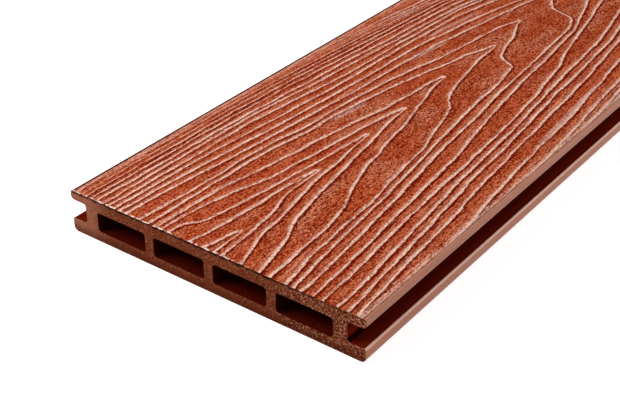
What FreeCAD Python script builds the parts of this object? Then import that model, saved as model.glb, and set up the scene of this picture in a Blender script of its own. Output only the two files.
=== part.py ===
"""Hollow wood-plastic decking board, extruded in one piece.

The section is a flat slab with a row of rectangular chambers between thin webs, and a clip groove along each
long edge. The board lies flat: X runs along its length, Y across its width, Z up to the walking face, and the
origin is the middle of its underside. Sizes are in millimetres.
"""
import FreeCAD, Part
import math
import os

# Overall size
BOARD_LENGTH = 2200.0
BOARD_WIDTH = 150.0
BOARD_THICKNESS = 20.0

# Walls around the chambers
CHAMBER_COUNT = 4
TOP_WALL = 5.8
BOTTOM_WALL = 5.0
WEB_THICKNESS = 4.5
SIDE_WALL = 6.4
CHAMBER_CORNER_RADIUS = 1.5

# Clip groove along each long edge, between an upper and a lower lip
GROOVE_DEPTH = 8.4
UPPER_LIP_THICKNESS = 4.4
LOWER_LIP_THICKNESS = 6.5
GROOVE_CORNER_RADIUS = 1.5
UPPER_LIP_NOSE_RADIUS = 1.8
LOWER_LIP_NOSE_RADIUS = 1.0

# Long outer edges
TOP_EDGE_RADIUS = 1.2
BOTTOM_EDGE_RADIUS = 2.2

# The largest share of a straight side that the rounding at one of its ends may use
ROUNDING_SHARE = 0.45


def section_point(y, z):
    """A point of the section, on the plane of the board's first end."""
    return FreeCAD.Vector(-BOARD_LENGTH / 2, y, z)


def rounded_outline(corners):
    """Closed wire through (y, z, radius) corners: straight sides joined by tangent arcs."""
    points = [section_point(y, z) for y, z, _ in corners]
    count = len(points)
    arcs = []
    for i, (_, _, wanted_radius) in enumerate(corners):
        corner = points[i]
        to_previous = points[i - 1] - corner
        to_next = points[(i + 1) % count] - corner
        half_angle = to_previous.getAngle(to_next) / 2
        longest_tangent = ROUNDING_SHARE * min(to_previous.Length, to_next.Length)
        radius = min(wanted_radius, longest_tangent * math.tan(half_angle))
        tangent = radius / math.tan(half_angle)
        to_previous.normalize()
        to_next.normalize()
        bisector = to_previous + to_next
        bisector.normalize()
        nearest = corner + bisector * (radius / math.sin(half_angle) - radius)
        arcs.append((corner + to_previous * tangent, nearest, corner + to_next * tangent))

    edges = []
    for i, (start, middle, end) in enumerate(arcs):
        edges.append(Part.Arc(start, middle, end).toShape())
        next_start = arcs[(i + 1) % count][0]
        edges.append(Part.LineSegment(end, next_start).toShape())
    return Part.Wire(edges)


def outer_outline():
    """The slab's outline with its two clip grooves, the same on both edges."""
    edge = BOARD_WIDTH / 2
    groove_back = edge - GROOVE_DEPTH
    groove_floor = LOWER_LIP_THICKNESS
    groove_roof = BOARD_THICKNESS - UPPER_LIP_THICKNESS
    half = [
        (edge, 0, BOTTOM_EDGE_RADIUS),
        (edge, groove_floor, LOWER_LIP_NOSE_RADIUS),
        (groove_back, groove_floor, GROOVE_CORNER_RADIUS),
        (groove_back, groove_roof, GROOVE_CORNER_RADIUS),
        (edge, groove_roof, UPPER_LIP_NOSE_RADIUS),
        (edge, BOARD_THICKNESS, TOP_EDGE_RADIUS),
    ]
    other_half = [(-y, z, radius) for y, z, radius in reversed(half)]
    return rounded_outline(half + other_half)


def chamber_outlines():
    """The chambers, equally wide, share the width left between the side walls and the webs."""
    cored_width = BOARD_WIDTH - 2 * (GROOVE_DEPTH + SIDE_WALL)
    chamber_width = (cored_width - (CHAMBER_COUNT - 1) * WEB_THICKNESS) / CHAMBER_COUNT
    chamber_roof = BOARD_THICKNESS - TOP_WALL
    outlines = []
    for i in range(CHAMBER_COUNT):
        low_y = -cored_width / 2 + i * (chamber_width + WEB_THICKNESS)
        high_y = low_y + chamber_width
        outlines.append(rounded_outline([
            (low_y, BOTTOM_WALL, CHAMBER_CORNER_RADIUS),
            (high_y, BOTTOM_WALL, CHAMBER_CORNER_RADIUS),
            (high_y, chamber_roof, CHAMBER_CORNER_RADIUS),
            (low_y, chamber_roof, CHAMBER_CORNER_RADIUS),
        ]))
    return outlines


def decking_board():
    """The section pushed along the board's whole length."""
    section = Part.Face(outer_outline())
    for outline in chamber_outlines():
        section = section.cut(Part.Face(outline))
    return section.Faces[0].extrude(FreeCAD.Vector(BOARD_LENGTH, 0, 0))


def main():
    os.makedirs("parts", exist_ok=True)
    board = decking_board()
    print("decking_board: valid", board.isValid(), "volume", round(board.Volume), "mm3", board.BoundBox)
    board.exportStep("parts/decking_board.step")


main()
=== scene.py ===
"""Looks of the hollow decking board: a closed mesh with embossed grain, materials, light and camera.

Sizes are in millimetres, and are turned into metres where a mesh, a material, a lamp or the camera is made.
"Along" is measured from the sawn end that faces the camera, "across" from the middle of the board, and
"left" is the camera's left (+Y). The lamps and the camera are placed in the shared frame.
"""
import math

import bmesh
import bpy
import numpy as np
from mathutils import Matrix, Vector


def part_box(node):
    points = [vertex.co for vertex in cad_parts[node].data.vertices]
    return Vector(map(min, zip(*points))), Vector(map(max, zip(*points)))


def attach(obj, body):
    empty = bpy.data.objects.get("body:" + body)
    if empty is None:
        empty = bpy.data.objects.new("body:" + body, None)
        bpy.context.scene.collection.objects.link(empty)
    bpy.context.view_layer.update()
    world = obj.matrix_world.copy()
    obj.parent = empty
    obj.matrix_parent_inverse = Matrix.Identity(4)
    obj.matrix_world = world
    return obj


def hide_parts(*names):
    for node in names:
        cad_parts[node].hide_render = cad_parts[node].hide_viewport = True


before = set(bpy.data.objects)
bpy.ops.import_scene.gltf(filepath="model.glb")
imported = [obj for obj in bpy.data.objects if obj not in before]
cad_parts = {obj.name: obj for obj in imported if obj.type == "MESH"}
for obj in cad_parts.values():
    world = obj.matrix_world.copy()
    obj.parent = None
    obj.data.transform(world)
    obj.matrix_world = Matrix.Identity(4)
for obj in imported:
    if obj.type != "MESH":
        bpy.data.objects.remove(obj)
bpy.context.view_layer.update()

MM = 0.001
NODE = "decking_board"
node_low, node_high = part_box(NODE)
LENGTH, WIDTH, THICKNESS = ((high - low) / MM for low, high in zip(node_low, node_high))

# Section, as in the part's source
CHAMBER_COUNT = 4
TOP_WALL = 5.8
BOTTOM_WALL = 5.0
WEB_THICKNESS = 4.5
SIDE_WALL = 6.4
CHAMBER_CORNER_RADIUS = 1.5
GROOVE_DEPTH = 8.4
UPPER_LIP_THICKNESS = 4.4
LOWER_LIP_THICKNESS = 6.5
GROOVE_CORNER_RADIUS = 1.5
UPPER_LIP_NOSE_RADIUS = 1.8
LOWER_LIP_NOSE_RADIUS = 1.0
TOP_EDGE_RADIUS = 1.2
BOTTOM_EDGE_RADIUS = 2.2
ARC_STEPS = 5

# Embossed grain. The roller presses the same set of rings again and again along the board. Each ring is one
# grain line shaped like a V: its tip, then the left and the right arm that meet there, as (along, across)
# points from the near end on.
ROLLER_REPEAT = 550.0
RINGS = (
    ((17.5, -2.9),
     ((0, 1.5), (10, -0.8)),
     ((0, -4.8),)),
    ((74, 0.7),
     ((0, 8), (10, 6.3), (25, 4.3), (60, 2.5)),
     ((0, -8.3), (20, -6.7), (36, -5.2), (43, -3.5), (46, -2.2), (52, -0.7), (60, 0))),
    ((113, 1.5),
     ((0, 19.2), (7, 18.6), (9.5, 17.2), (12, 14), (20, 12), (40, 9), (60, 6.7), (88, 3.8)),
     ((0, -18.3), (10, -15), (22, -11.3), (35, -10), (45, -8.5), (60, -5.3), (90, -1.8))),
    ((144, 1.7),
     ((0, 23), (10, 22.8), (28, 20), (40, 17.6), (50, 14.3), (60, 12.6), (90, 8.8), (120, 6.3)),
     ((0, -26.8), (20, -23), (28, -20.5), (34, -17.5), (40, -15.7), (60, -11.5), (100, -5.3), (130, -0.5))),
    ((183, 4.3),
     ((0, 25.7), (15, 25.2), (40, 24), (70, 18.7), (90, 16.2), (120, 12), (140, 8.2), (176, 5.5)),
     ((0, -31.8), (40, -29.3), (48, -28), (58, -25.5), (72, -19.5), (85, -16), (115, -9.8), (125, -8.5),
      (160, -0.5))),
    ((228.5, 2),
     ((0, 29.8), (65, 28.4), (80, 26.8), (100, 24.2), (120, 23.2), (140, 20.8), (155, 18.8), (175, 14.6),
      (205, 8.8), (211, 8.3), (215, 6)),
     ((0, -39.8), (12, -38), (22, -35.5), (70, -32.5), (90, -29.2), (120, -25.2), (150, -17.8),
      (160.5, -14.3), (162, -11.5), (170, -8.2), (185, -4.8), (200, -1.5), (222, 0.2))),
    ((263.5, 7),
     ((0, 34.5), (20, 33.5), (50, 31.8), (65, 32), (85, 30.2), (100, 27.8), (140, 25.8), (160, 23.6),
      (200, 16.7), (235, 12.5), (250, 11)),
     ((0, -43.2), (30, -39), (70, -35.2), (128, -28), (150, -24.9), (195, -20.7), (205, -18.8),
      (214.5, -18), (217, -12), (221, -7), (230, -4.2), (245, -1.2))),
    ((322, 9),
     ((0, 42), (20, 41), (60, 36.8), (90, 34.4), (150, 29.5), (190, 28.2), (210, 26.8), (240, 22),
      (270, 17.8)),
     ((0, -47.3), (50, -42.4), (80, -38.9), (120, -33), (150, -30.7), (190, -25.8), (230, -22.9),
      (270, -19.2), (281, -16), (286.5, -13.5), (288.5, -4.5), (291, 0.3), (299, 5.5))),
    ((362, 3),
     ((0, 45.8), (20, 45.2), (60, 41.5), (110, 37.5), (160, 34.3), (210, 33), (230, 29.5), (270, 24)),
     ((0, -52.3), (20, -51.2), (60, -46.7), (100, -43.3), (120, -41.6), (160, -34.8), (200, -29.8),
      (270, -22.8))),
    ((402, 1),
     ((0, 49), (60, 47), (100, 43.7), (140, 40.2), (200, 38.8), (250, 36.3), (310, 25)),
     ((0, -56.8), (35, -54.3), (60, -51.7), (100, -49.3), (150, -45.8), (190, -42), (230, -35.8),
      (240, -32), (270, -26.5))),
    ((440, -1),
     ((0, 52.2), (60, 50.3), (90, 50.6), (120, 47.5), (160, 43.4), (220, 41.8), (260, 39.8), (350, 22)),
     ((0, -63.6), (20, -62.5), (60, -57.8), (100, -53.3), (150, -49.8), (210, -43.5), (270, -38.2),
      (350, -23))),
    ((482, -3),
     ((0, 55), (80, 54.5), (100, 54), (140, 50), (180, 47.5), (260, 42.5), (370, 25)),
     ((0, -68), (50, -63.3), (100, -57.5), (160, -53), (200, -48.8), (270, -43.5), (380, -25))),
    ((524, -4),
     ((0, 58.7), (75, 57.2), (130, 54.5), (200, 49.8), (260, 46), (390, 28)),
     ((0, -71.8), (60, -67), (100, -62.8), (140, -59.3), (200, -54.8), (270, -47.5), (400, -28))),
    ((547, -5),
     ((0, 62.2), (75, 60.8), (130, 58.8), (200, 54), (260, 50.2), (400, 31)),
     ((0, -80), (60, -75.5), (100, -70.5), (130, -67.8), (158, -66), (187, -64.3), (213, -61.4),
      (231, -59.5), (270, -55), (410, -31.5))),
)
# Slim rings beside the left edge, with both arms left of the middle
SLIM_RINGS = (
    ((420, 31),
     ((0, 68), (75, 66.7), (130, 64.9), (200, 60.2), (260, 56.2), (400, 35.8)),
     ((0, 65.2), (75, 63.9), (130, 62), (200, 57.3), (260, 53.3), (400, 33.8))),
    ((255, 58.6),
     ((0, 73.4), (75, 72.1), (130, 70.3), (200, 64.8)),
     ((0, 71), (75, 69.6), (130, 67.6), (200, 62.8))),
)
# Arms of the rings: their length, how they run out to the edges before the near end, and how they wander, as
# (stations from one knot to the next, size)
ARM_LENGTH = 900.0
RUN_OUT_LENGTH = 280.0
LEFT_RUN_OUT = 92.0
RIGHT_RUN_OUT = -95.0
STATION_STEP = 1.0
SMOOTHING_SPAN = 7
WANDERS = ((9.0, 0.22), (3.0, 0.1))
WANDER_SEED = 7
TIP_FADE = 12.0
# How far a grain line reaches, and the width over which left arms give way to right ones
FAR = 20.0
SIDE_BLEND = 2.0

# Relief of the grain lines: a crest with a broad shoulder on its left, that drops on its right into a recess.
# Lines that crowd together fade out, and so do lines at the long edges.
CREST_HEIGHT = 0.12
SHOULDER_WIDTH = 2.5
WALL_WIDTH = 0.9
RECESS_DEPTH = 0.22
RECESS_FADE = 1.5
PLAIN_LEVEL = THICKNESS - CREST_HEIGHT
CROWDED_SPACING = 0.9
CLEAR_SPACING = 2.8
EDGE_FADE_START = 2.0
EDGE_FADE_END = 0.3

# Mesh density, and the angle from which an edge looks sharp
NEAR_ZONE = 420.0
NEAR_STEP = 1.4
FAR_STEP = 2.6
COLUMN_STEP = 0.45
TRIANGLES = 180_000
SHARP_ANGLE = math.radians(50)

# Slots of the materials, and the sizes of the shell's painted shade line along the top edge, and of the worn
# lips with their painted highlight
TOP, SKIN, CHAMBER, SAWN, EDGE, WORN_HIGHLIGHT, GROOVE, GROOVE_CORNER = range(8)
EDGE_LINE_DEPTH = 0.1
WORN_HIGHLIGHT_HEIGHT = 0.7
WORN_HIGHLIGHT_WIDTH = 0.9

# Extruded skins, as a name, two screen colours, a roughness and a shine
SKINS = {
    SKIN: ("extruded_skin", (168, 102, 76), (190, 124, 98), 0.42, 0.2),
    # The chambers' near-black skin is painted shade
    CHAMBER: ("chamber_painted_shade", (60, 8, 2), (76, 15, 6), 0.6, 0.0),
    # The dark line along the left top edge is painted shade
    EDGE: ("edge_painted_shade", (50, 12, 4), (68, 22, 10), 0.8, 0.0),
    # The lip noses are pale from wear and from a painted highlight
    WORN_HIGHLIGHT: ("worn_lip_highlight", (206, 152, 130), (222, 172, 150), 0.4, 0.5),
    # The grooves' dark red skin is painted shade, and their near-black lower corner is deeper painted shade
    GROOVE: ("groove_painted_shade", (86, 14, 2), (104, 24, 8), 0.6, 0.0),
    GROOVE_CORNER: ("groove_corner_painted_shade", (20, 3, 0), (32, 6, 1), 0.8, 0.0),
}
SKIN_SPECK = (96, 44, 30)
SKIN_ROUGHNESS_CHANGE = 0.12

# Screen colours of the walking face
BODY_DARK = (142, 34, 3)
BODY_LIGHT = (164, 56, 20)
DEEP_RED = (118, 20, 0)
LIT_SHOULDER = (182, 74, 36)
PALE_BORDER = (202, 110, 74)
PALE_STREAK = (200, 100, 60)
PALE_BRUSH_MARK = (208, 112, 74)
DARK_BRUSH_MARK = (122, 20, 0)
PALE_THREAD = (224, 152, 120)
BAND_WEAR_AND_HIGHLIGHT = (216, 142, 112)
PALE_SPECK = (226, 128, 84)
DARK_SPECK = (104, 8, 0)
PALE_HAZE = (226, 158, 124)
RECESS_RED_AND_SHADE = (102, 7, 0)
CREST_WEAR_AND_HIGHLIGHT = (242, 202, 182)
SCUFF_AND_SHEEN = (220, 174, 158)
WORN_BORDER = (234, 188, 168)
RIM_SHADE = (48, 10, 3)
PALE_CHIP = (244, 218, 202)

# Screen colours of the sawn ends
SAWN_DARK = (112, 43, 15)
SAWN_LIGHT = (143, 70, 37)
SAWN_PATCH = (104, 39, 15)
SAWN_LEFT_SHEEN = (190, 124, 96)
PALE_FLECK = (216, 154, 124)
DARK_FLECK = (48, 10, 0)
SAWN_FOOT_SHADE = (76, 18, 0)
SAWN_LINE = (26, 4, 0)

# Blobs of the noises, as their size along, across and up
JAG_BLOB = (2.0, 0.8, 1.0)
BRUSH_BLOB = (15.0, 0.8, 1.0)
PATCH_BLOB = (30.0, 9.0, 9.0)
SPECKLE_BLOB = (1.1, 0.7, 0.85)
FLAKE_BLOB = (4.0, 2.6, 2.0)
SKIN_STREAK_BLOB = (180.0, 1.2, 1.2)
SKIN_SPECKLE_BLOB = (1.2, 0.8, 0.8)
SAWN_FIBRE_BLOB = (1.0, 1.8, 0.5)
SAWN_PATCH_BLOB = (20.0, 16.0, 9.0)
SAWN_SPECKLE_BLOB = (0.9, 0.9, 0.9)
SAWN_RAGGED_BLOB = (2.0, 1.4, 2.0)

# Zones of the walking face, from where a change starts to where it is full: three off the middle on both
# sides, two across from right to left, and one off the sawn ends
BORDER_ZONE = (60, 72)
WORN_ZONE = (70.6, 72.6)
RIM_SHADE_ZONE = (72.9, 73.2)
FAINT_LINE_ZONE = (62, 71)
CHIPPED_SIDE = (-25, 0)
CHIP_ZONE = (1.0, 0.6)

# Zones of the sawn ends: three across, and two in height
COARSE_ZONE = (-30, -44)
SAWN_LEFT_SHEEN_ZONE = (50, 68)
LINE_SIDE = (-62, -25)
FOOT_SHADE_ZONE = (5.5, 1.0)
LINE_ZONE = (18.6, 19.1)

# Added to the distance from a grain line on the side where it has no shoulder
NO_SHOULDER = 6.0

# How far the painted lines lie beside the crests, and how far the noises push lines and borders about
LINE_INSET = 0.8
LINE_JAG = 1.4
SHOULDER_JAG = 2.5
SHOULDER_BRUSH = 5.0
HOLLOW_JAG = 1.6
HOLLOW_BRUSH = 2.0
BORDER_JAG = 6.0
BORDER_BRUSH = 10.0
CHIP_JAG = 2.0
SAWN_LINE_JAG = 3.0

# Fine relief in the materials
FACE_RELIEF = 0.15
SKIN_RELIEF = 0.05
SAWN_RELIEF = 0.35

# Pale smears on the walking face, partly scuffs and partly painted sheen, as (along, across) of both ends and
# a half width
SCUFFS_AND_SHEENS = (
    ((114, 22.9), (141, 19.9), 1.7),
    ((184, 29.0), (220, 25.0), 1.5),
    ((212, 37.0), (268, 30.6), 1.8),
    ((142, -65.0), (228, -58.4), 1.9),
    ((182, -68.2), (222, -65.0), 1.2),
)

# Floor and sky, with their strengths to the eye and as light
FLOOR_HALF_SIZE = 6000
FLOOR_DROP = 0.2
FLOOR_GREY = (0.4, 0.4, 0.4, 1)
FLOOR_ROUGHNESS = 0.9
WHITE = (1, 1, 1, 1)
FLOOR_STRENGTHS = (0.84, 0.0)
SKY_STRENGTHS = (1.0, 0.3)

# Square lamps, as a name, a place, a target, a side and a power in watts
LAMPS = (
    ("key", (-1550, 800, 850), (-1150, 0, 0), 700, 15),
    ("back", (1500, 1200, 1300), (900, 0, 0), 1000, 14),
    ("fill", (100, -1300, 350), (-600, 0, 0), 900, 17),
)

# Camera of the photograph
CAMERA_AT = Vector((-1399.9, -272.4, 294.4))
CAMERA_TURN = math.radians(36.60)
CAMERA_DIP = math.radians(32.27)
FOCAL_LENGTH = 73.05
SENSOR_WIDTH = 36.0
CLIP_START = 10
CLIP_END = 50_000


def rounded_points(corners, closed):
    """Points of an outline through (across, height, radius) corners, with round corners as short chords."""
    count = len(corners)
    points = []
    for i, (y, z, radius) in enumerate(corners):
        if not closed and i in (0, count - 1):
            points.append((y, z))
            continue
        corner = Vector((y, z))
        to_previous = (Vector(corners[i - 1][:2]) - corner).normalized()
        to_next = (Vector(corners[(i + 1) % count][:2]) - corner).normalized()
        half_angle = to_previous.angle(to_next) / 2
        centre = corner + (to_previous + to_next).normalized() * (radius / math.sin(half_angle))
        start = (corner + to_previous * (radius / math.tan(half_angle)) - centre).normalized()
        end = (corner + to_next * (radius / math.tan(half_angle)) - centre).normalized()
        for step in range(ARC_STEPS + 1):
            points.append(tuple(centre + start.slerp(end, step / ARC_STEPS) * radius))
    return points


def shell_points():
    """The outline below the walking face, from the left top edge round the underside to the right one."""
    edge = WIDTH / 2
    groove_back = edge - GROOVE_DEPTH
    groove_roof = THICKNESS - UPPER_LIP_THICKNESS
    left_half = [
        (edge - TOP_EDGE_RADIUS, PLAIN_LEVEL, 0),
        (edge, PLAIN_LEVEL, TOP_EDGE_RADIUS),
        (edge, groove_roof, UPPER_LIP_NOSE_RADIUS),
        (groove_back, groove_roof, GROOVE_CORNER_RADIUS),
        (groove_back, LOWER_LIP_THICKNESS, GROOVE_CORNER_RADIUS),
        (edge, LOWER_LIP_THICKNESS, LOWER_LIP_NOSE_RADIUS),
        (edge, 0, BOTTOM_EDGE_RADIUS),
    ]
    right_half = [(-y, z, radius) for y, z, radius in reversed(left_half)]
    points = rounded_points(left_half + right_half, closed=False)
    # The border of the walking face stands for the first two points, and for the last two
    return points[2:-2]


def shell_material(first, second):
    """The material between two neighbouring points of the shell: a painted shade line along the left top
    edge, worn lips with a painted highlight, the grooves in painted shade that is darkest in their lower
    corner, and plain skin elsewhere."""
    across = (abs(first[0]) + abs(second[0])) / 2
    height = (first[1] + second[1]) / 2
    if height > PLAIN_LEVEL - EDGE_LINE_DEPTH:
        return EDGE if first[0] > 0 else SKIN
    if not LOWER_LIP_THICKNESS - WORN_HIGHLIGHT_HEIGHT < height < THICKNESS - UPPER_LIP_THICKNESS + WORN_HIGHLIGHT_HEIGHT:
        return SKIN
    # Lip noses: worn pale, with a painted highlight
    if across > WIDTH / 2 - WORN_HIGHLIGHT_WIDTH:
        return WORN_HIGHLIGHT
    # Inside the grooves: painted shade, darkest in the lower corner
    on_lip = across > WIDTH / 2 - GROOVE_DEPTH + GROOVE_CORNER_RADIUS
    on_wall = height > LOWER_LIP_THICKNESS + GROOVE_CORNER_RADIUS
    return GROOVE if on_lip or on_wall else GROOVE_CORNER


def chamber_points():
    """One closed outline for each chamber."""
    cored_width = WIDTH - 2 * (GROOVE_DEPTH + SIDE_WALL)
    chamber_width = (cored_width - (CHAMBER_COUNT - 1) * WEB_THICKNESS) / CHAMBER_COUNT
    roof = THICKNESS - TOP_WALL
    outlines = []
    for i in range(CHAMBER_COUNT):
        low = -cored_width / 2 + i * (chamber_width + WEB_THICKNESS)
        high = low + chamber_width
        corners = [(low, BOTTOM_WALL), (high, BOTTOM_WALL), (high, roof), (low, roof)]
        outlines.append(rounded_points([(y, z, CHAMBER_CORNER_RADIUS) for y, z in corners], closed=True))
    return outlines


def wander(count, random):
    """Seeded sideways wandering of a grain line, in millimetres at each station."""
    total = np.zeros(count)
    for span, size in WANDERS:
        knots = np.arange(0, count + 2 * span, span)
        total += np.interp(np.arange(count), knots, random.normal(0, size, len(knots)))
    return total


def arm_across(stations, tip, points, run_out, random):
    """Where one arm of a ring lies across the board at each station, ending at the ring's tip."""
    alongs, acrosses = zip(*points, tip)
    line = np.interp(stations, alongs, acrosses)
    behind = stations < 0
    line[behind] += (run_out - acrosses[0]) * (1 - np.exp(stations[behind] / RUN_OUT_LENGTH))
    window = np.hanning(SMOOTHING_SPAN + 2)[1:-1]
    padded = np.pad(line, SMOOTHING_SPAN // 2, mode="edge")
    line = np.convolve(padded, window / window.sum(), mode="valid")
    to_tip = tip[0] - stations
    return line + wander(len(line), random) * np.clip(to_tip / TIP_FADE, 0, 1)


def grain_lines():
    """Every ring of every turn of the roller, as (stations, left arm, right arm, tip, slim or not)."""
    random = np.random.default_rng(WANDER_SEED)
    lines = []
    for turn in range(math.ceil((LENGTH + ARM_LENGTH) / ROLLER_REPEAT)):
        shift = turn * ROLLER_REPEAT
        for tip, left_points, right_points in RINGS + SLIM_RINGS:
            slim = right_points[0][1] > 0
            right_run_out = LEFT_RUN_OUT if slim else RIGHT_RUN_OUT
            stations = np.arange(tip[0] - ARM_LENGTH, tip[0] + STATION_STEP / 2, STATION_STEP)
            left = arm_across(stations, tip, left_points, LEFT_RUN_OUT, random)
            right = arm_across(stations, tip, right_points, right_run_out, random)
            lines.append((stations + shift, left, right, (tip[0] + shift, tip[1]), slim))
    return lines


def grain_position(along, across, lines):
    """For each point: how many grain lines it lies outside of, with its part of the way to the next one,
    the spacing of the lines there, and whether the nearest line is a left arm (1) or a right one (0)."""
    passed = np.zeros(along.shape)
    by_left = np.zeros(along.shape)
    nearest_gap = np.full(along.shape, FAR)
    to_crest = np.full(along.shape, FAR)
    past_crest = np.full(along.shape, FAR)
    for stations, left, right, tip, slim in lines:
        passed[along >= tip[0] + FAR] += 1
        passed[along <= stations[0]] += slim
        near = np.nonzero((along > stations[0]) & (along < tip[0] + FAR))
        x = along[near]
        y = across[near]
        left_gap = np.interp(x, stations, left) - y
        left_gap /= np.hypot(1, np.interp(x, stations, np.gradient(left, STATION_STEP)))
        right_gap = y - np.interp(x, stations, right)
        right_gap /= np.hypot(1, np.interp(x, stations, np.gradient(right, STATION_STEP)))
        gap = np.minimum(left_gap, right_gap)
        beyond_tip = x > tip[0]
        gap[beyond_tip] = -np.hypot(x - tip[0], y - tip[1])[beyond_tip]
        outside = gap < 0
        passed[near] += outside
        past_crest[near] = np.where(outside, np.minimum(past_crest[near], -gap), past_crest[near])
        to_crest[near] = np.where(outside, to_crest[near], np.minimum(to_crest[near], gap))
        leaning = np.clip(0.5 + (right_gap - left_gap) / (2 * SIDE_BLEND), 0, 1)
        nearest = np.abs(gap) < nearest_gap[near]
        by_left[near] = np.where(nearest, leaning, by_left[near])
        nearest_gap[near] = np.where(nearest, np.abs(gap), nearest_gap[near])
    spacing = to_crest + past_crest
    return passed + past_crest / spacing, spacing, by_left


def step_height(shoulder_gap, recess_gap):
    """Height between two grain lines, from the distances to the one with its shoulder here and to the one
    with its recess here."""
    crest = CREST_HEIGHT * np.exp(-shoulder_gap / SHOULDER_WIDTH)
    wall = np.clip(1 - recess_gap / WALL_WIDTH, 0, 1)
    recess = RECESS_DEPTH * np.exp(-np.maximum(recess_gap - WALL_WIDTH, 0) / RECESS_FADE)
    return np.maximum(crest, CREST_HEIGHT * wall) - recess * (1 - wall)


def relief(across, ring, spacing, by_left):
    """Height of the walking face above its plain level."""
    past_crest = (ring % 1) * spacing
    to_crest = spacing - past_crest
    on_left = step_height(past_crest, to_crest)
    on_right = step_height(to_crest, past_crest)
    from_edge = WIDTH / 2 - TOP_EDGE_RADIUS - np.abs(across)
    fade = np.clip((from_edge - EDGE_FADE_END) / (EDGE_FADE_START - EDGE_FADE_END), 0, 1)
    fade *= np.clip((spacing - CROWDED_SPACING) / (CLEAR_SPACING - CROWDED_SPACING), 0, 1)
    return fade * (by_left * on_left + (1 - by_left) * on_right)


def row_positions():
    """Rows of the walking face along the board, closer together at the end that the camera sees."""
    near_rows = np.arange(0, NEAR_ZONE, NEAR_STEP)
    far_count = math.ceil((LENGTH - NEAR_ZONE) / FAR_STEP)
    return np.concatenate([near_rows, np.linspace(NEAR_ZONE, LENGTH, far_count + 1)])


def build_board(lines):
    """The board as one closed mesh: embossed walking face, extruded shell and chambers, two sawn ends."""
    half_sheet = WIDTH / 2 - TOP_EDGE_RADIUS
    rows = row_positions()
    columns = np.linspace(-half_sheet, half_sheet, round(2 * half_sheet / COLUMN_STEP) + 1)
    along, across = np.meshgrid(rows, columns, indexing="ij")
    heights = PLAIN_LEVEL + relief(across, *grain_position(along, across, lines))
    mesh = bmesh.new()

    def vertex(x, y, z):
        return mesh.verts.new(Vector((x - LENGTH / 2, y, z)) * MM)

    def face(corners, material):
        mesh.faces.new(corners).material_index = material

    sheet = [[vertex(*place) for place in zip(*line)] for line in zip(along, across, heights)]
    for near_row, far_row in zip(sheet, sheet[1:]):
        for i in range(len(columns) - 1):
            face((near_row[i], far_row[i], far_row[i + 1], near_row[i + 1]), TOP)

    ends = [[], []]
    shell = shell_points()
    inner = [[vertex(x, y, z) for y, z in shell] for x in (0, LENGTH)]
    left_border = [row[-1] for row in sheet]
    right_border = [row[0] for row in sheet]
    # The left border of the walking face carries the painted shade line of the top edge
    face([inner[0][0]] + left_border + [inner[1][0]], EDGE)
    face([inner[1][-1]] + right_border[::-1] + [inner[0][-1]], SKIN)
    loops = [(inner, False)]
    for outline in chamber_points():
        loops.append(([[vertex(x, y, z) for y, z in outline] for x in (0, LENGTH)], True))
    for (near, far), closed in loops:
        pairs = list(zip(range(len(near)), range(1, len(near))))
        if closed:
            pairs.append((len(near) - 1, 0))
        for i, j in pairs:
            material = CHAMBER if closed else shell_material(shell[i], shell[j])
            face((near[i], far[i], far[j], near[j]), material)
            ends[0].append((near[i], near[j]))
            ends[1].append((far[i], far[j]))
    for end, row, points in ((ends[0], sheet[0], inner[0]), (ends[1], sheet[-1], inner[1])):
        end += list(zip(row, row[1:]))
        end += [(row[-1], points[0]), (points[-1], row[0])]
        edges = [mesh.edges.get(pair) or mesh.edges.new(pair) for pair in end]
        filled = bmesh.ops.triangle_fill(mesh, use_beauty=True, edges=edges)
        for made in filled["geom"]:
            if isinstance(made, bmesh.types.BMFace):
                made.material_index = SAWN
    bmesh.ops.recalc_face_normals(mesh, faces=mesh.faces)
    dense = bpy.data.meshes.new("board_dense")
    mesh.to_mesh(dense)
    mesh.free()
    return dense


def thinned(dense):
    """The same surface with fewer triangles, most of them kept where the grain is."""
    board = bpy.data.objects.new("board", dense)
    bpy.context.scene.collection.objects.link(board)
    dense.calc_loop_triangles()
    decimate = board.modifiers.new("thin", "DECIMATE")
    decimate.ratio = min(1.0, TRIANGLES / len(dense.loop_triangles))
    ready = board.evaluated_get(bpy.context.evaluated_depsgraph_get())
    board.data = bpy.data.meshes.new_from_object(ready)
    board.data.name = "board"
    board.modifiers.clear()
    bpy.data.meshes.remove(dense)
    return board


def store_grain(board, lines):
    """Keeps the grain position, the spacing and the side at each vertex, for the material."""
    mesh = board.data
    places = np.empty(len(mesh.vertices) * 3)
    mesh.vertices.foreach_get("co", places)
    places = places.reshape(-1, 3) / MM
    position = grain_position(places[:, 0] + LENGTH / 2, places[:, 1], lines)
    for name, values in zip(("ring", "spacing", "by_left"), position):
        attribute = mesh.attributes.new(name, "FLOAT", "POINT")
        attribute.data.foreach_set("value", values.astype(np.float32))


def colour(red, green, blue):
    """A screen colour (0 to 255) as the linear values that a shader takes."""
    channels = []
    for value in (red, green, blue):
        share = value / 255
        channels.append(share / 12.92 if share <= 0.04045 else ((share + 0.055) / 1.055) ** 2.4)
    return (*channels, 1.0)


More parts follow.
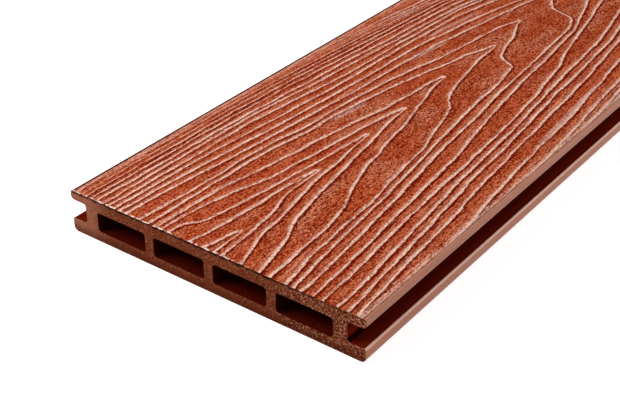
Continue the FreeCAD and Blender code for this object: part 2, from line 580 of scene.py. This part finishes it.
class Shader:
    """A node material, with short ways to add the few kinds of node used here."""

    def __init__(self, name):
        self.material = bpy.data.materials.new(name)
        self.material.use_nodes = True
        self.tree = self.material.node_tree
        self.surface = self.tree.nodes["Principled BSDF"]
        self.place = self.node("ShaderNodeTexCoord").outputs["Object"]
        axes = self.node("ShaderNodeSeparateXYZ")
        self.put(axes.inputs[0], self.place)
        self.along, self.across, self.height = axes.outputs

    def node(self, kind, **settings):
        made = self.tree.nodes.new(kind)
        for name, value in settings.items():
            setattr(made, name, value)
        return made

    def put(self, socket, value):
        if isinstance(value, bpy.types.NodeSocket):
            self.tree.links.new(value, socket)
        else:
            socket.default_value = value

    def math(self, operation, first, second=0.0):
        made = self.node("ShaderNodeMath", operation=operation)
        self.put(made.inputs[0], first)
        self.put(made.inputs[1], second)
        return made.outputs[0]

    def chain(self, operation, values):
        """One operation from value to value, in order."""
        result = values[0]
        for value in values[1:]:
            result = self.math(operation, result, value)
        return result

    def times(self, *values):
        return self.chain("MULTIPLY", values)

    def plus(self, *values):
        return self.chain("ADD", values)

    def minus(self, first, second):
        return self.math("SUBTRACT", first, second)

    def absolute(self, value):
        return self.math("ABSOLUTE", value)

    def blend(self, share, first, second):
        return self.plus(first, self.times(share, self.minus(second, first)))

    def stored(self, name):
        return self.node("ShaderNodeAttribute", attribute_name=name).outputs["Fac"]

    def noise_at(self, vector, detail, roughness=0.5):
        made = self.node("ShaderNodeTexNoise")
        self.put(made.inputs["Vector"], vector)
        made.inputs["Scale"].default_value = 1.0
        made.inputs["Detail"].default_value = detail
        made.inputs["Roughness"].default_value = roughness
        return made.outputs["Fac"]

    def noise(self, blob, detail=2.0, roughness=0.5):
        """Noise with blobs of about the given size along X, Y and Z."""
        scale = self.node("ShaderNodeVectorMath", operation="MULTIPLY")
        self.put(scale.inputs[0], self.place)
        scale.inputs[1].default_value = [1 / (size * MM) for size in blob]
        return self.noise_at(scale.outputs[0], detail, roughness)

    def flow(self, ring, length, per_ring, detail=2.0):
        """Noise drawn out along the grain: blobs of a given length, and so many from one ring to the next."""
        vector = self.node("ShaderNodeCombineXYZ")
        self.put(vector.inputs[0], self.times(self.along, 1 / (length * MM)))
        self.put(vector.inputs[1], self.times(ring, per_ring))
        return self.noise_at(vector.outputs[0], detail)

    def ramp(self, value, start, end, low=0.0, high=1.0):
        """Low up to start, high past end, and a smooth change between."""
        made = self.node("ShaderNodeMapRange", interpolation_type="SMOOTHSTEP")
        self.put(made.inputs["Value"], value)
        made.inputs["From Min"].default_value = start
        made.inputs["From Max"].default_value = end
        made.inputs["To Min"].default_value = low
        made.inputs["To Max"].default_value = high
        return made.outputs["Result"]

    def zone(self, distance, limits, low=0.0, high=1.0):
        """A ramp over a distance, between two limits in millimetres."""
        start, end = limits
        return self.ramp(distance, start * MM, end * MM, low, high)

    def smear(self, start, end, half_width):
        """1 on the line between two (along, across) points, fading to 0 beside it and at its ends."""
        half_length = (end[0] - start[0]) / 2
        slope = (end[1] - start[1]) / (end[0] - start[0])
        middle_along = (start[0] + end[0] - LENGTH) / 2
        middle_across = (start[1] + end[1]) / 2
        from_middle = self.minus(self.along, middle_along * MM)
        line = self.plus(self.times(from_middle, slope), middle_across * MM)
        beside = self.absolute(self.minus(self.across, line))
        by_ends = self.zone(self.absolute(from_middle), (half_length, half_length / 2))
        return self.times(self.zone(beside, (half_width, half_width / 4)), by_ends)

    def paint(self, base, share, screen_colour):
        """The base colour with a share of a screen colour laid over it."""
        made = self.node("ShaderNodeMix", data_type="RGBA")
        self.put(made.inputs["Factor"], share)
        self.put(made.inputs["A"], base)
        self.put(made.inputs["B"], colour(*screen_colour))
        return made.outputs["Result"]

    def bump(self, height):
        """Fine relief, from a height in millimetres."""
        made = self.node("ShaderNodeBump")
        self.put(made.inputs["Height"], height)
        made.inputs["Distance"].default_value = MM
        self.put(self.surface.inputs["Normal"], made.outputs["Normal"])

    def finish(self, base, roughness, shine):
        self.put(self.surface.inputs["Base Color"], base)
        self.put(self.surface.inputs["Roughness"], roughness)
        self.surface.inputs["Specular IOR Level"].default_value = shine
        return self.material


class Grain:
    """What the paint of the walking face goes by: the grain lines, with jagged edges, and several noises."""

    def __init__(self, shader):
        self.shader = shader
        self.from_middle = shader.absolute(shader.across)
        self.jag = shader.minus(shader.noise(JAG_BLOB, detail=3.0), 0.5)
        self.brush = shader.minus(shader.noise(BRUSH_BLOB, roughness=0.7), 0.5)
        self.patches = shader.noise(PATCH_BLOB)
        self.speckle = shader.noise(SPECKLE_BLOB, roughness=0.85)
        self.chalk = shader.ramp(self.speckle, 0.41, 0.53, 0.35, 1.0)

        self.by_left = shader.stored("by_left")
        self.spacing = shader.stored("spacing")
        self.wide = shader.ramp(self.spacing, 7.0, 12.0)
        self.clear = shader.times(
            shader.ramp(self.spacing, CROWDED_SPACING, CLEAR_SPACING),
            shader.zone(shader.across, FAINT_LINE_ZONE, 1.0, 0.35),
        )
        inset = shader.plus(shader.times(self.jag, LINE_JAG), self.by_side(LINE_INSET, -LINE_INSET))
        self.ring = shader.plus(shader.stored("ring"), shader.math("DIVIDE", inset, self.spacing))
        self.streaks = shader.flow(self.ring, length=45.0, per_ring=4.0, detail=3.0)

        past_crest = shader.times(shader.math("FRACT", self.ring), self.spacing)
        to_crest = shader.minus(self.spacing, past_crest)
        inner_shoulder = shader.plus(to_crest, shader.ramp(self.by_left, 0.5, 1.0, 0.0, NO_SHOULDER))
        outer_shoulder = shader.plus(past_crest, shader.ramp(self.by_left, 0.5, 0.0, 0.0, NO_SHOULDER))
        self.shoulder = shader.math("MINIMUM", inner_shoulder, outer_shoulder)
        self.ragged_shoulder = shader.plus(
            self.shoulder,
            shader.times(self.jag, SHOULDER_JAG),
            shader.times(self.brush, SHOULDER_BRUSH),
            shader.ramp(self.patches, 0.35, 0.65, 0.2, -0.6),
        )
        self.ragged_hollow = shader.plus(
            shader.blend(self.by_left, past_crest, to_crest),
            shader.times(self.jag, HOLLOW_JAG),
            shader.times(self.brush, HOLLOW_BRUSH),
        )

    def by_side(self, on_right, on_left):
        """One value beside the right arms of the rings, and another beside the left ones."""
        return self.shader.ramp(self.by_left, 0.0, 1.0, on_right, on_left)


def body_paint(shader, grain):
    """Red body with streaks and brush marks, deeper on wide rings, and paler by the lines and the edges."""
    base = shader.paint(colour(*BODY_DARK), shader.ramp(grain.streaks, 0.36, 0.64), BODY_LIGHT)
    base = shader.paint(base, shader.times(grain.wide, 0.25), DEEP_RED)
    lit = shader.times(
        shader.ramp(grain.shoulder, 5.0, 0.5, 0.0, 0.5),
        shader.ramp(grain.brush, -0.1, 0.1, 0.2, 1.0),
    )
    base = shader.paint(base, lit, LIT_SHOULDER)
    base = shader.paint(base, shader.zone(grain.from_middle, BORDER_ZONE, 0.0, 0.4), PALE_BORDER)
    fine = shader.flow(grain.ring, length=22.0, per_ring=9.0)
    tight = shader.ramp(grain.spacing, 9.0, 4.0)
    pale = shader.times(shader.ramp(fine, 0.52, 0.66, 0.0, 0.5), tight)
    dark = shader.times(shader.ramp(fine, 0.46, 0.34, 0.0, 0.6), tight)
    base = shader.paint(base, pale, PALE_STREAK)
    base = shader.paint(base, dark, DEEP_RED)
    base = shader.paint(base, shader.ramp(grain.brush, 0.02, 0.13, 0.0, 0.5), PALE_BRUSH_MARK)
    return shader.paint(base, shader.ramp(grain.brush, -0.02, -0.13, 0.0, 0.55), DARK_BRUSH_MARK)


def thread_paint(shader, grain, base):
    """Fainter lines here and there between the rings: a pale thread with a dark groove beside it."""
    offset = shader.ramp(grain.streaks, 0.3, 0.7, 0.3, 0.7)
    between = shader.math("FRACT", shader.plus(grain.ring, offset))
    present = shader.times(
        shader.ramp(grain.spacing, 2.6, 4.2),
        shader.ramp(grain.spacing, 11.0, 7.0),
        shader.ramp(shader.flow(grain.ring, length=70.0, per_ring=0.8), 0.43, 0.55, 0.0, 0.8),
    )
    to_thread = shader.times(shader.minus(1.0, between), grain.spacing)
    past_thread = shader.times(between, grain.spacing)
    groove = shader.times(shader.ramp(past_thread, 1.2, 0.3), present)
    thread = shader.times(shader.ramp(to_thread, 0.8, 0.3), present)
    base = shader.paint(base, groove, DEEP_RED)
    return shader.paint(base, thread, PALE_THREAD)


def line_paint(shader, grain, base):
    """The grain lines, pale on the shoulder from brushing and from painted highlight on the side towards the
    light, and dark in the recess from red pigment and from painted shade on the side away from it, and the
    speckle between them.
    """
    # Pale band on the shoulder: brushed paleness and painted highlight, on the side towards the light
    band = shader.times(
        shader.ramp(grain.ragged_shoulder, 2.8, 0.6),
        shader.ramp(grain.patches, 0.35, 0.65, 0.15, 0.75),
        grain.by_side(0.75, 0.4),
        grain.clear,
    )
    base = shader.paint(base, band, BAND_WEAR_AND_HIGHLIGHT)
    base = shader.paint(base, shader.ramp(grain.speckle, 0.51, 0.60, 0.0, 0.75), PALE_SPECK)
    specks = shader.times(shader.ramp(grain.speckle, 0.49, 0.39), grain.by_side(0.85, 0.65))
    base = shader.paint(base, specks, DARK_SPECK)
    haze = shader.times(
        grain.wide,
        shader.ramp(grain.patches, 0.42, 0.62, 0.0, 0.55),
        shader.ramp(grain.speckle, 0.47, 0.58),
    )
    base = shader.paint(base, haze, PALE_HAZE)
    # Dark recess: red pigment and painted shade, on the side of each line away from the light
    recess = shader.times(
        shader.ramp(grain.ragged_hollow, 1.5, 0.8),
        shader.ramp(grain.patches, 0.25, 0.6, 0.6, 0.9),
        grain.by_side(1.0, 0.75),
        grain.clear,
    )
    base = shader.paint(base, recess, RECESS_RED_AND_SHADE)
    # Pale crest: brushed paleness and painted highlight
    crest = shader.times(
        shader.ramp(grain.ragged_shoulder, 1.6, 0.6),
        shader.ramp(grain.shoulder, 2.0, 1.0),
        grain.chalk,
        grain.clear,
    )
    return shader.paint(base, crest, CREST_WEAR_AND_HIGHLIGHT)


def wear_paint(shader, grain, base):
    """Pale smears that are partly scuffs and partly painted sheen, worn borders with a painted shade line as
    their rim, and chips at the sawn ends.
    """
    # Pale smears: partly scuffs, partly painted sheen
    for start, end, half_width in SCUFFS_AND_SHEENS:
        scuff_and_sheen = shader.times(
            shader.smear(start, end, half_width),
            shader.ramp(grain.brush, -0.12, 0.06, 0.2, 0.9),
            grain.chalk,
        )
        base = shader.paint(base, scuff_and_sheen, SCUFF_AND_SHEEN)
    ragged_border = shader.plus(
        grain.from_middle,
        shader.times(grain.brush, BORDER_BRUSH * MM),
        shader.times(grain.jag, BORDER_JAG * MM),
    )
    worn = shader.times(shader.zone(ragged_border, WORN_ZONE), grain.by_side(0.75, 0.4), grain.chalk)
    base = shader.paint(base, worn, WORN_BORDER)
    # A painted shade line along the rounding of the long edges
    rim_shade = shader.times(shader.zone(grain.from_middle, RIM_SHADE_ZONE), grain.by_side(0.6, 0.9))
    base = shader.paint(base, rim_shade, RIM_SHADE)
    from_end = shader.minus(LENGTH / 2 * MM, shader.absolute(shader.along))
    chips = shader.times(
        shader.zone(shader.plus(from_end, shader.times(grain.jag, CHIP_JAG * MM)), CHIP_ZONE),
        shader.ramp(shader.noise(FLAKE_BLOB), 0.47, 0.53),
        shader.zone(shader.across, CHIPPED_SIDE),
    )
    return shader.paint(base, chips, PALE_CHIP)


def walking_face():
    """Terracotta composite with an embossed grain that is brushed pale on its crests, with a painted
    highlight on the side of each line towards the light and painted shade on the other.
    """
    shader = Shader("walking_face")
    grain = Grain(shader)
    base = body_paint(shader, grain)
    base = thread_paint(shader, grain, base)
    base = line_paint(shader, grain, base)
    base = wear_paint(shader, grain, base)
    height = shader.plus(
        shader.times(grain.speckle, FACE_RELIEF),
        shader.times(grain.brush, FACE_RELIEF),
    )
    shader.bump(height)
    return shader.finish(base, shader.ramp(grain.speckle, 0.3, 0.7, 0.65, 0.85), 0.0)


def extruded_skin(name, first, second, roughness, shine):
    """Smooth extruded composite with faint streaks along the board."""
    shader = Shader(name)
    streaks = shader.noise(SKIN_STREAK_BLOB, detail=3.0)
    speckle = shader.noise(SKIN_SPECKLE_BLOB)
    base = shader.paint(colour(*first), shader.ramp(streaks, 0.3, 0.7), second)
    base = shader.paint(base, shader.ramp(speckle, 0.45, 0.25, 0.0, 0.35), SKIN_SPECK)
    shader.bump(shader.times(streaks, SKIN_RELIEF))
    rougher = roughness + SKIN_ROUGHNESS_CHANGE
    return shader.finish(base, shader.ramp(streaks, 0.3, 0.7, roughness, rougher), shine)


def sawn_end():
    """Sawn composite: a rough brown, flecked where it is coarse, with painted sheen on its left part, painted
    shade along its foot, and a dark line under the walking face.
    """
    shader = Shader("sawn_end")
    fibres = shader.noise(SAWN_FIBRE_BLOB, detail=4.0)
    patches = shader.noise(SAWN_PATCH_BLOB)
    speckle = shader.noise(SAWN_SPECKLE_BLOB, roughness=0.8)
    coarse = shader.zone(shader.across, COARSE_ZONE, 0.35, 1.0)
    base = shader.paint(colour(*SAWN_DARK), shader.ramp(fibres, 0.35, 0.65), SAWN_LIGHT)
    base = shader.paint(base, shader.ramp(patches, 0.4, 0.7, 0.0, 0.5), SAWN_PATCH)
    # Painted sheen on the left part of the sawn end
    base = shader.paint(base, shader.zone(shader.across, SAWN_LEFT_SHEEN_ZONE, 0.0, 0.6), SAWN_LEFT_SHEEN)
    pale = shader.times(shader.ramp(speckle, 0.53, 0.64, 0.0, 0.9), coarse)
    dark = shader.times(shader.ramp(speckle, 0.47, 0.37, 0.0, 0.9), coarse)
    base = shader.paint(base, pale, PALE_FLECK)
    base = shader.paint(base, dark, DARK_FLECK)
    # Painted shade along the foot of the sawn end
    base = shader.paint(base, shader.zone(shader.height, FOOT_SHADE_ZONE, 0.0, 0.6), SAWN_FOOT_SHADE)
    ragged = shader.minus(shader.noise(SAWN_RAGGED_BLOB, detail=3.0), 0.5)
    line = shader.times(
        shader.zone(shader.plus(shader.height, shader.times(ragged, SAWN_LINE_JAG * MM)), LINE_ZONE),
        shader.zone(shader.across, LINE_SIDE, 0.4, 0.95),
    )
    base = shader.paint(base, line, SAWN_LINE)
    shader.bump(shader.times(fibres, SAWN_RELIEF))
    return shader.finish(base, shader.ramp(speckle, 0.3, 0.7, 0.6, 0.85), 0.05)


def make_board():
    lines = grain_lines()
    board = thinned(build_board(lines))
    store_grain(board, lines)
    board.data.shade_smooth()
    board.data.set_sharp_from_angle(angle=SHARP_ANGLE)
    materials = {TOP: walking_face(), SAWN: sawn_end()}
    for slot, skin in SKINS.items():
        materials[slot] = extruded_skin(*skin)
    for slot in sorted(materials):
        board.data.materials.append(materials[slot])
    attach(board, "root")
    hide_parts(NODE)


def strength_for_eye(tree, seen, unseen):
    """A strength for camera, glossy and transmission rays, and another for the rays that light the board."""
    path = tree.nodes.new("ShaderNodeLightPath")
    by_eye = path.outputs["Is Camera Ray"]
    for kind in ("Is Glossy Ray", "Is Transmission Ray"):
        either = tree.nodes.new("ShaderNodeMath")
        either.operation = "MAXIMUM"
        tree.links.new(by_eye, either.inputs[0])
        tree.links.new(path.outputs[kind], either.inputs[1])
        by_eye = either.outputs[0]
    strength = tree.nodes.new("ShaderNodeMapRange")
    tree.links.new(by_eye, strength.inputs["Value"])
    strength.inputs["To Min"].default_value = unseen
    strength.inputs["To Max"].default_value = seen
    return strength.outputs["Result"]


def make_stage():
    """A floor that keeps the board's soft shadow, and looks white to the camera and in reflections."""
    size = FLOOR_HALF_SIZE * MM
    mesh = bpy.data.meshes.new("floor")
    corners = [(-size, -size, 0), (size, -size, 0), (size, size, 0), (-size, size, 0)]
    mesh.from_pydata(corners, [], [(0, 1, 2, 3)])
    floor = bpy.data.objects.new("floor", mesh)
    floor.location.z = -FLOOR_DROP * MM
    bpy.context.scene.collection.objects.link(floor)
    material = bpy.data.materials.new("floor")
    material.use_nodes = True
    tree = material.node_tree
    surface = tree.nodes["Principled BSDF"]
    surface.inputs["Base Color"].default_value = FLOOR_GREY
    surface.inputs["Roughness"].default_value = FLOOR_ROUGHNESS
    surface.inputs["Emission Color"].default_value = WHITE
    tree.links.new(strength_for_eye(tree, *FLOOR_STRENGTHS), surface.inputs["Emission Strength"])
    mesh.materials.append(material)


def make_lamp(name, place, target, side, power):
    lamp = bpy.data.lights.new(name, "AREA")
    lamp.shape = "SQUARE"
    lamp.size = side * MM
    lamp.energy = power
    holder = bpy.data.objects.new(name, lamp)
    holder.location = Vector(place) * MM
    holder.rotation_euler = (Vector(target) - Vector(place)).to_track_quat("-Z", "Y").to_euler()
    bpy.context.scene.collection.objects.link(holder)


def make_light():
    world = bpy.data.worlds.new("studio")
    world.use_nodes = True
    tree = world.node_tree
    sky = tree.nodes["Background"]
    sky.inputs["Color"].default_value = WHITE
    tree.links.new(strength_for_eye(tree, *SKY_STRENGTHS), sky.inputs["Strength"])
    bpy.context.scene.world = world
    for lamp in LAMPS:
        make_lamp(*lamp)


def make_camera():
    lens = bpy.data.cameras.new("photo_camera")
    lens.sensor_width = SENSOR_WIDTH
    lens.lens = FOCAL_LENGTH
    lens.clip_start = CLIP_START * MM
    lens.clip_end = CLIP_END * MM
    camera = bpy.data.objects.new("photo_camera", lens)
    forward = Vector((
        math.cos(CAMERA_DIP) * math.cos(CAMERA_TURN),
        math.cos(CAMERA_DIP) * math.sin(CAMERA_TURN),
        -math.sin(CAMERA_DIP),
    ))
    camera.location = CAMERA_AT * MM
    camera.rotation_euler = forward.to_track_quat("-Z", "Y").to_euler()
    bpy.context.scene.collection.objects.link(camera)
    bpy.context.scene.camera = camera


make_board()
make_stage()
make_light()
make_camera()
bpy.context.scene.view_settings.view_transform = "Standard"
